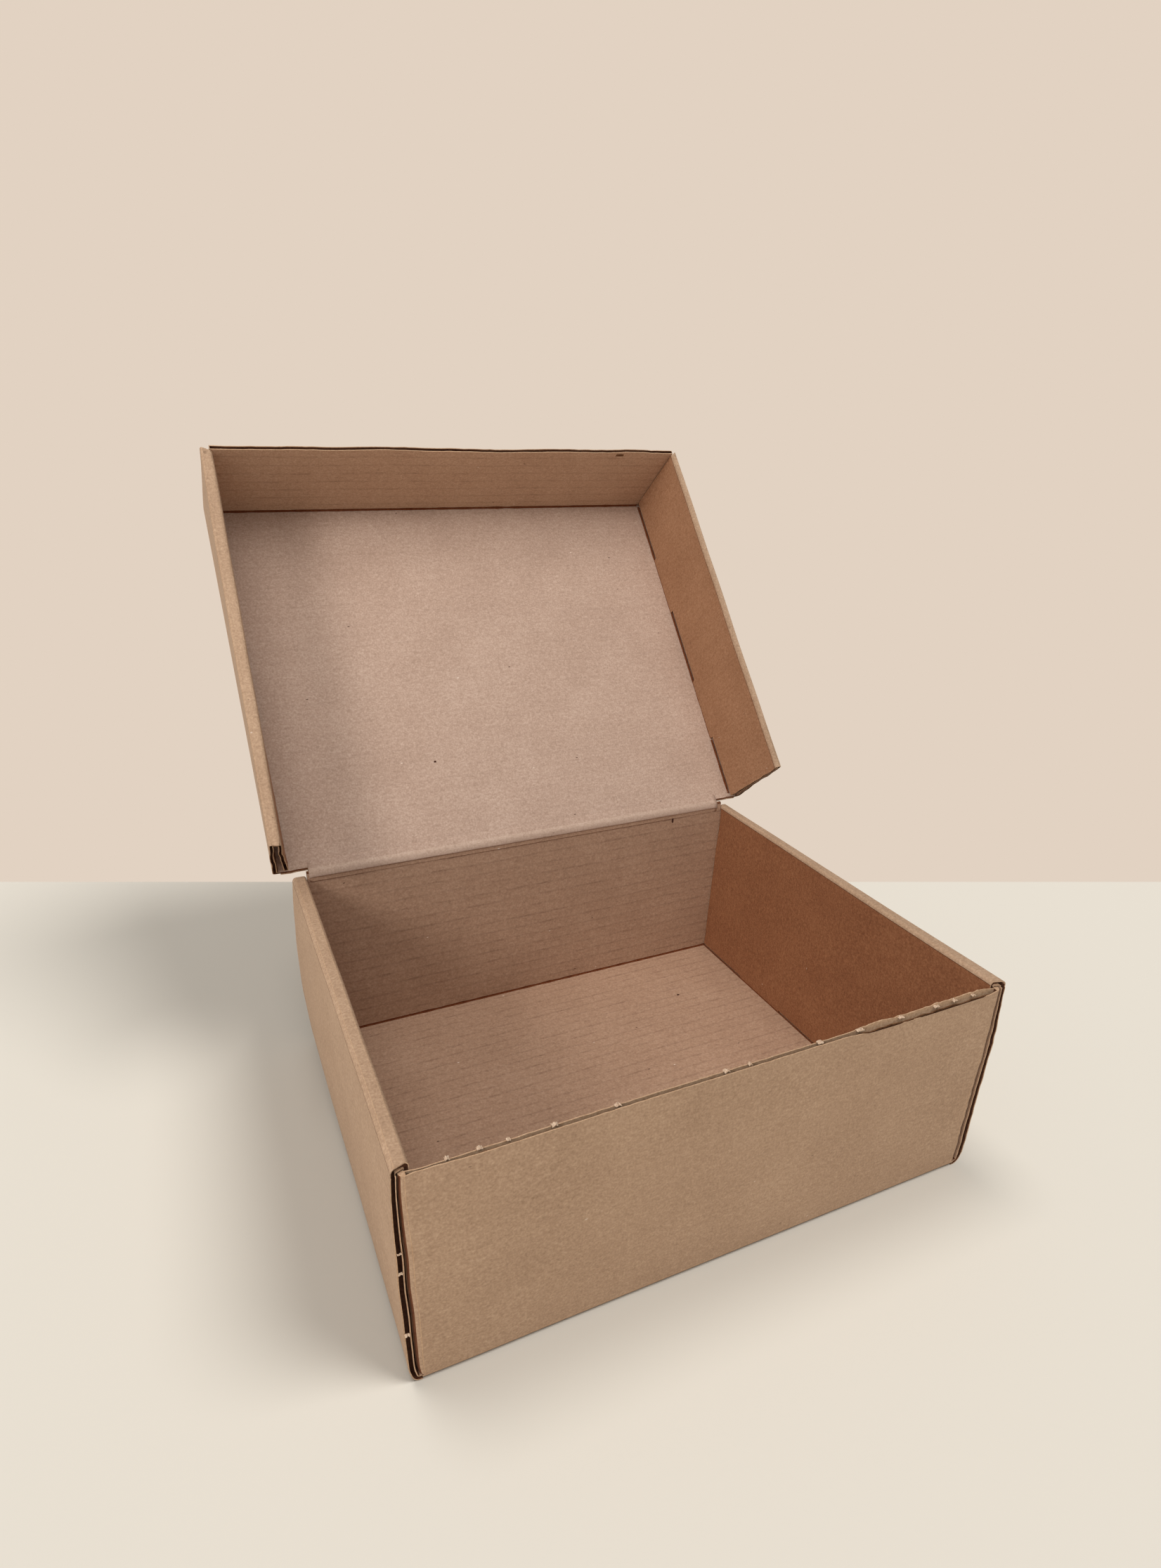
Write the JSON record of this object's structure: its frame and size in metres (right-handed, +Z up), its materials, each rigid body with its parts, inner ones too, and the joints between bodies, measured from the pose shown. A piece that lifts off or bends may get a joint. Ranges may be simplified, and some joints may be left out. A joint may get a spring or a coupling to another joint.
{
  "type": "open cardboard box",
  "caption": "Open corrugated cardboard box with rolled-over side walls and a hinged lid that closes over the outside of the tray.",
  "frame": {"origin": "centre of the tray's flat underside", "axes": "+X across the box to the right, +Y from the front wall to the hinge, +Z up"},
  "size_m": [0.2794, 0.3479, 0.2997],
  "materials": {
    "corrugated_board": "matte uncoated brown kraft facing"
  },
  "bodies": {
    "tray": {"tray": "corrugated_board"},
    "lid": {"lid": "corrugated_board"}
  },
  "joints": [
    {"name": "lid_hinge", "type": "hinge", "parent": "tray", "child": "lid", "pos_m": [0, 0.10335, 0.10355], "axis": [1, 0, 0], "range_deg": [-75, 130.5]}
  ]
}
